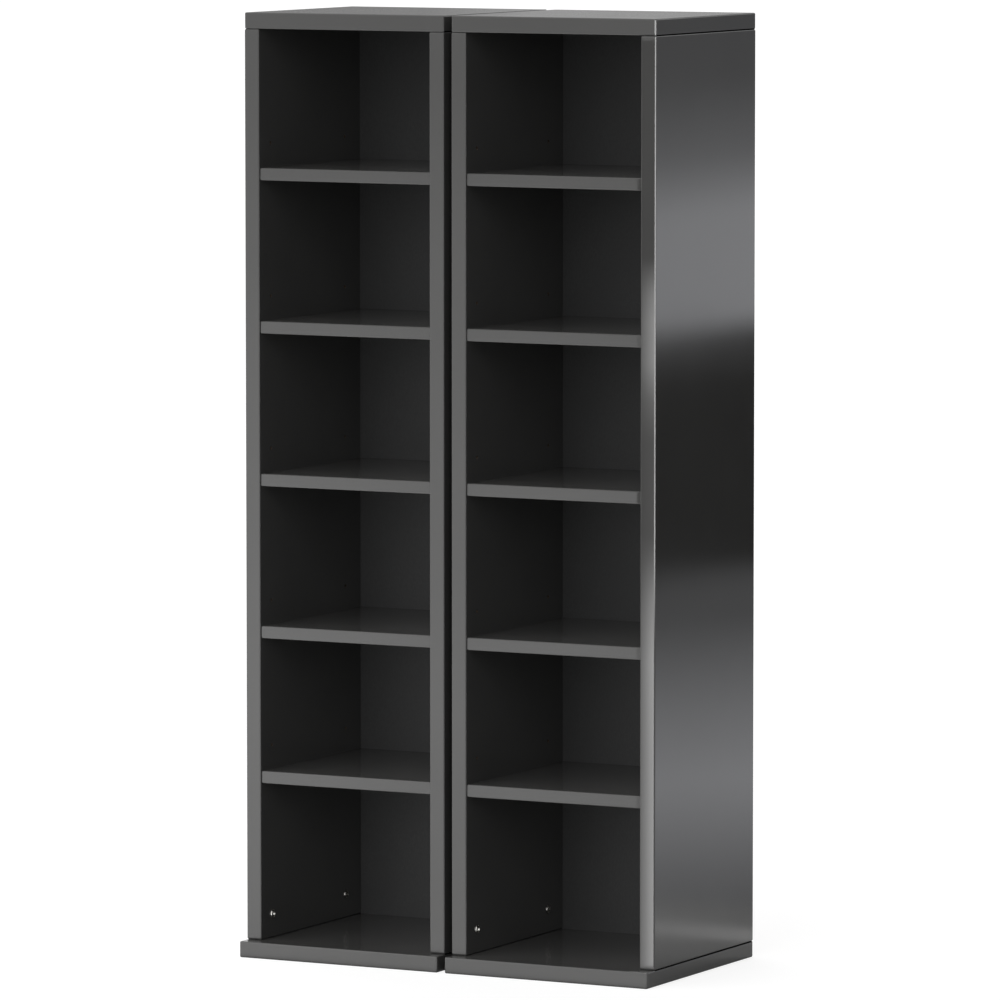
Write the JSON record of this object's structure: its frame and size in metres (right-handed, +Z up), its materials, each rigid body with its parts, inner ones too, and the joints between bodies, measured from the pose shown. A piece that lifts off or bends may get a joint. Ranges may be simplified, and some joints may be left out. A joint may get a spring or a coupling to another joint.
{
  "type": "cd dvd storage tower",
  "caption": "Pair of tall narrow open towers for storing disc cases, with loose shelves on hidden wires, a grooved-in back sheet and a base that stands forward of the sides.",
  "frame": {"origin": "on the floor, under the centre of the pair's bounding box", "axes": "+Z up, +X from the left tower to the right one, the open fronts face -Y"},
  "size_m": [0.448, 0.2354, 0.929],
  "materials": {
    "board": "particle board wrapped in dark grey satin foil with banded edges",
    "back_sheet": "thin hardboard, near black, matt",
    "support_wire": "bent steel wire, bright",
    "fitting": "turned steel, nickel plated"
  },
  "bodies": {
    "left_tower": {"left_tower_base_panel": "board", "left_tower_top_panel": "board", "left_tower_left_side": "board", "left_tower_right_side": "board", "left_tower_back_sheet": "back_sheet", "left_tower_wire_1_left": "support_wire", "left_tower_wire_1_right": "support_wire", "left_tower_wire_2_left": "support_wire", "left_tower_wire_2_right": "support_wire", "left_tower_wire_3_left": "support_wire", "left_tower_wire_3_right": "support_wire", "left_tower_wire_4_left": "support_wire", "left_tower_wire_4_right": "support_wire", "left_tower_wire_5_left": "support_wire", "left_tower_wire_5_right": "support_wire", "left_tower_barrel_nut_left_front": "fitting", "left_tower_bolt_left_front": "fitting", "left_tower_barrel_nut_left_rear": "fitting", "left_tower_bolt_left_rear": "fitting", "left_tower_barrel_nut_right_front": "fitting", "left_tower_bolt_right_front": "fitting", "left_tower_barrel_nut_right_rear": "fitting", "left_tower_bolt_right_rear": "fitting"},
    "left_tower_shelf_1": {"left_tower_shelf_1": "board"},
    "left_tower_shelf_2": {"left_tower_shelf_2": "board"},
    "left_tower_shelf_3": {"left_tower_shelf_3": "board"},
    "left_tower_shelf_4": {"left_tower_shelf_4": "board"},
    "left_tower_shelf_5": {"left_tower_shelf_5": "board"},
    "right_tower": {"right_tower_base_panel": "board", "right_tower_top_panel": "board", "right_tower_left_side": "board", "right_tower_right_side": "board", "right_tower_back_sheet": "back_sheet", "right_tower_wire_1_left": "support_wire", "right_tower_wire_1_right": "support_wire", "right_tower_wire_2_left": "support_wire", "right_tower_wire_2_right": "support_wire", "right_tower_wire_3_left": "support_wire", "right_tower_wire_3_right": "support_wire", "right_tower_wire_4_left": "support_wire", "right_tower_wire_4_right": "support_wire", "right_tower_wire_5_left": "support_wire", "right_tower_wire_5_right": "support_wire", "right_tower_barrel_nut_left_front": "fitting", "right_tower_bolt_left_front": "fitting", "right_tower_barrel_nut_left_rear": "fitting", "right_tower_bolt_left_rear": "fitting", "right_tower_barrel_nut_right_front": "fitting", "right_tower_bolt_right_front": "fitting", "right_tower_barrel_nut_right_rear": "fitting", "right_tower_bolt_right_rear": "fitting"},
    "right_tower_shelf_1": {"right_tower_shelf_1": "board"},
    "right_tower_shelf_2": {"right_tower_shelf_2": "board"},
    "right_tower_shelf_3": {"right_tower_shelf_3": "board"},
    "right_tower_shelf_4": {"right_tower_shelf_4": "board"},
    "right_tower_shelf_5": {"right_tower_shelf_5": "board"}
  },
  "joints": [
    {"name": "right_tower_place", "type": "slide", "parent": "left_tower", "child": "right_tower", "axis": [1, 0, 0], "range_m": [0, 0.4]},
    {"name": "left_tower_shelf_1_slide", "type": "slide", "parent": "left_tower", "child": "left_tower_shelf_1", "axis": [0, -1, 0], "range_m": [0, 0.215]},
    {"name": "left_tower_shelf_2_slide", "type": "slide", "parent": "left_tower", "child": "left_tower_shelf_2", "axis": [0, -1, 0], "range_m": [0, 0.215]},
    {"name": "left_tower_shelf_3_slide", "type": "slide", "parent": "left_tower", "child": "left_tower_shelf_3", "axis": [0, -1, 0], "range_m": [0, 0.215]},
    {"name": "left_tower_shelf_4_slide", "type": "slide", "parent": "left_tower", "child": "left_tower_shelf_4", "axis": [0, -1, 0], "range_m": [0, 0.215]},
    {"name": "left_tower_shelf_5_slide", "type": "slide", "parent": "left_tower", "child": "left_tower_shelf_5", "axis": [0, -1, 0], "range_m": [0, 0.215]},
    {"name": "right_tower_shelf_1_slide", "type": "slide", "parent": "right_tower", "child": "right_tower_shelf_1", "axis": [0, -1, 0], "range_m": [0, 0.215]},
    {"name": "right_tower_shelf_2_slide", "type": "slide", "parent": "right_tower", "child": "right_tower_shelf_2", "axis": [0, -1, 0], "range_m": [0, 0.215]},
    {"name": "right_tower_shelf_3_slide", "type": "slide", "parent": "right_tower", "child": "right_tower_shelf_3", "axis": [0, -1, 0], "range_m": [0, 0.215]},
    {"name": "right_tower_shelf_4_slide", "type": "slide", "parent": "right_tower", "child": "right_tower_shelf_4", "axis": [0, -1, 0], "range_m": [0, 0.215]},
    {"name": "right_tower_shelf_5_slide", "type": "slide", "parent": "right_tower", "child": "right_tower_shelf_5", "axis": [0, -1, 0], "range_m": [0, 0.215]}
  ]
}
